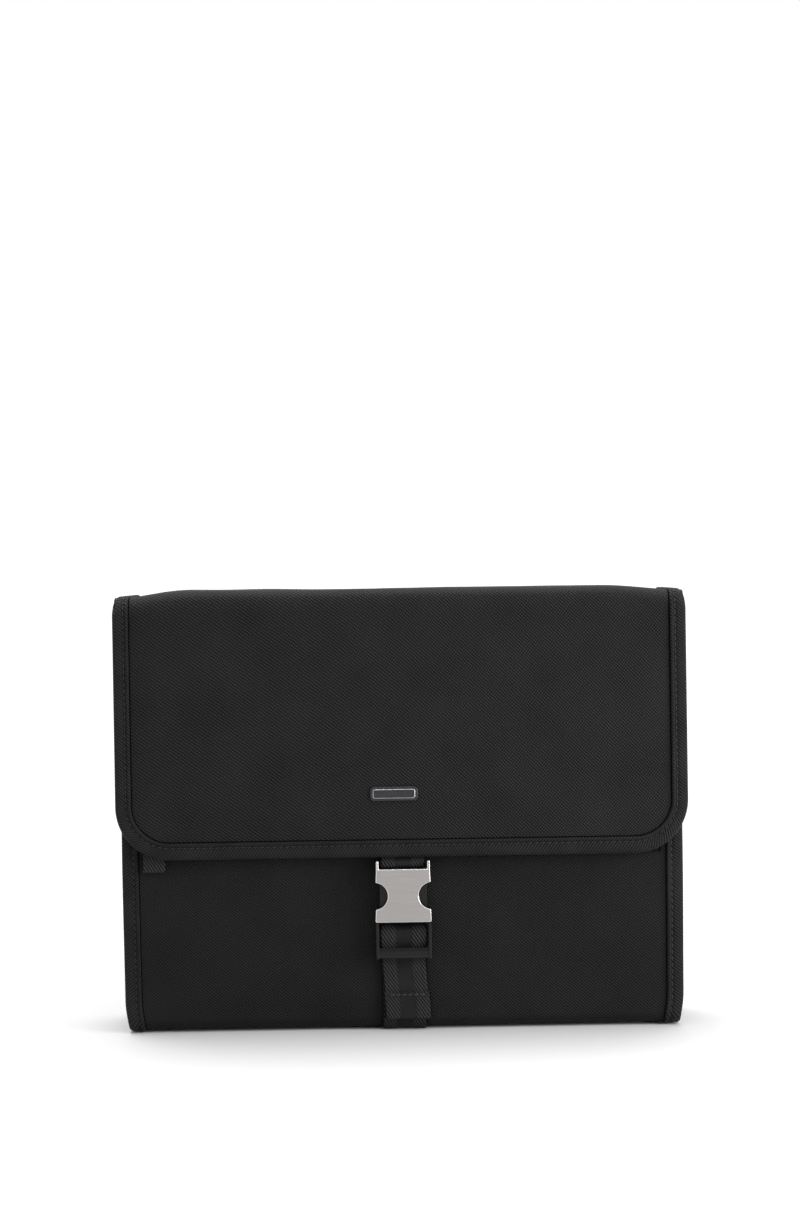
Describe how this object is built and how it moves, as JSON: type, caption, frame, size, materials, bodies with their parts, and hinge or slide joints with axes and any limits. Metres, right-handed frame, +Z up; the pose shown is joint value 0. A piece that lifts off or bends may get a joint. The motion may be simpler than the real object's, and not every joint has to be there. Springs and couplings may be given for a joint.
{
  "type": "hanging toiletry bag",
  "caption": "Soft hanging toiletry bag with a buckled front flap, fold-out front and base, zipped pouches and a pull-out hook.",
  "frame": {"origin": "centre of the bag's footprint, on the ground plane", "axes": "+X to the right seen from the front, +Y to the back, +Z up; the flap and buckle face -Y"},
  "size_m": [0.26, 0.0628, 0.2001],
  "materials": {
    "flap_twill": "black diagonal twill, soft sheen",
    "top_twill": "black diagonal twill over the rolled top",
    "front_twill": "black diagonal twill",
    "back_twill": "black diagonal twill",
    "base_twill": "black diagonal twill",
    "binding_tape": "black woven binding tape, stitched",
    "webbing": "black herringbone webbing",
    "lining": "charcoal plain-weave lining",
    "pouch_fabric": "dark grey light woven cloth",
    "foam": "thin closed-cell foam",
    "stiffener": "thin stiffening board",
    "zip_chain": "black coil zip",
    "zip_tape": "black zip tape",
    "zip_metal": "black enamelled zip slider",
    "hook_plastic": "moulded black hook",
    "buckle_plastic": "black moulded buckle",
    "buckle_plate": "vertically brushed light plate",
    "badge_metal": "dark polished metal",
    "washer_metal": "plain steel"
  },
  "bodies": {
    "back_section": {"back_panel": "back_twill", "back_foam": "foam", "back_lining": "lining", "back_binding_left": "binding_tape", "back_binding_right": "binding_tape", "hook_sleeve": "lining", "top_panel": "top_twill", "top_binding_left": "binding_tape", "top_binding_right": "binding_tape", "hook_slit_trim": "binding_tape", "top_pouch_gusset": "pouch_fabric", "top_pouch_face": "pouch_fabric", "top_pouch_zip_chain": "zip_chain", "middle_pouch_gusset": "pouch_fabric", "middle_pouch_face": "pouch_fabric", "middle_pouch_zip_chain": "zip_chain"},
    "flap": {"flap_panel": "flap_twill", "flap_lining": "lining", "flap_binding": "binding_tape", "badge": "badge_metal", "badge_washer_left": "washer_metal", "badge_washer_right": "washer_metal", "flap_strap": "webbing", "buckle_socket": "buckle_plastic", "buckle_faceplate": "buckle_plate"},
    "base": {"base_panel": "base_twill", "base_board": "stiffener", "base_lining": "lining", "base_binding_left": "binding_tape", "base_binding_right": "binding_tape", "strap_base": "webbing"},
    "front_section": {"front_panel": "front_twill", "front_lining": "lining", "front_binding": "binding_tape", "front_zip_tape": "zip_tape", "front_zip_chain": "zip_chain", "strap_run": "webbing", "lower_pouch_gusset": "pouch_fabric", "lower_pouch_face": "pouch_fabric", "lower_pouch_zip_chain": "zip_chain"},
    "hook": {"hanging_hook": "hook_plastic", "hook_strap": "webbing"},
    "plug": {"buckle_plug": "buckle_plastic", "strap_loop": "webbing"},
    "latch_left": {"latch_arm_left": "buckle_plastic"},
    "latch_right": {"latch_arm_right": "buckle_plastic"},
    "top_zip_slider": {"top_zip_slider": "zip_metal"},
    "top_zip_pull": {"top_zip_pull": "zip_metal"},
    "middle_zip_slider": {"middle_zip_slider": "zip_metal"},
    "middle_zip_pull": {"middle_zip_pull": "zip_metal"},
    "lower_zip_slider": {"lower_zip_slider": "zip_metal"},
    "lower_zip_pull": {"lower_zip_pull": "zip_metal"},
    "front_zip_slider": {"front_zip_slider": "zip_metal"},
    "front_zip_pull": {"front_zip_pull": "webbing"}
  },
  "joints": [
    {"name": "flap_fold", "type": "hinge", "parent": "back_section", "child": "flap", "pos_m": [0, -0.0292, 0.191], "axis": [-1, 0, 0], "range_deg": [0, 180]},
    {"name": "base_fold", "type": "hinge", "parent": "back_section", "child": "base", "pos_m": [0, 0.0316, -0.0001], "axis": [1, 0, 0], "range_deg": [0, 90]},
    {"name": "front_fold", "type": "hinge", "parent": "base", "child": "front_section", "pos_m": [0, -0.022, -0.0001], "axis": [1, 0, 0], "range_deg": [0, 90]},
    {"name": "hook_slide", "type": "slide", "parent": "back_section", "child": "hook", "axis": [0, 0, 1], "range_m": [0, 0.062]},
    {"name": "plug_slide", "type": "slide", "parent": "front_section", "child": "plug", "axis": [0, 0, -1], "range_m": [0, 0.018], "deforming": ["strap_run"]},
    {"name": "latch_left_flex", "type": "hinge", "parent": "plug", "child": "latch_left", "pos_m": [-0.0082, -0.0275, 0.0508], "axis": [0, 1, 0], "range_deg": [0, 8], "stiffness_Nm_per_rad": 0.05},
    {"name": "latch_right_flex", "type": "hinge", "parent": "plug", "child": "latch_right", "pos_m": [0.0082, -0.0275, 0.0508], "axis": [0, -1, 0], "range_deg": [0, 8], "stiffness_Nm_per_rad": 0.05},
    {"name": "top_zip_slide", "type": "slide", "parent": "back_section", "child": "top_zip_slider", "axis": [1, 0, 0], "range_m": [0, 0.2]},
    {"name": "top_pull_swing", "type": "hinge", "parent": "top_zip_slider", "child": "top_zip_pull", "pos_m": [-0.1, -0.02, 0.18], "axis": [0, 1, 0], "range_deg": [-100, 100]},
    {"name": "middle_zip_slide", "type": "slide", "parent": "back_section", "child": "middle_zip_slider", "axis": [1, 0, 0], "range_m": [0, 0.2]},
    {"name": "middle_pull_swing", "type": "hinge", "parent": "middle_zip_slider", "child": "middle_zip_pull", "pos_m": [-0.1, 0.0073, 0.081], "axis": [0, 1, 0], "range_deg": [-100, 100]},
    {"name": "lower_zip_slide", "type": "slide", "parent": "front_section", "child": "lower_zip_slider", "axis": [1, 0, 0], "range_m": [0, 0.2]},
    {"name": "lower_pull_swing", "type": "hinge", "parent": "lower_zip_slider", "child": "lower_zip_pull", "pos_m": [-0.1, 0.0023, 0.06], "axis": [0, 1, 0], "range_deg": [-100, 100]},
    {"name": "front_zip_slide", "type": "slide", "parent": "front_section", "child": "front_zip_slider", "axis": [1, 0, 0], "range_m": [0, 0.224]},
    {"name": "front_pull_swing", "type": "hinge", "parent": "front_zip_slider", "child": "front_zip_pull", "pos_m": [-0.113, -0.0209, 0.0816], "axis": [0, 1, 0], "range_deg": [-100, 100]}
  ],
  "couplings": [
    {"joint": "base_fold", "follows": "flap_fold", "ratio": 0.5},
    {"joint": "front_fold", "follows": "flap_fold", "ratio": 0.5}
  ]
}
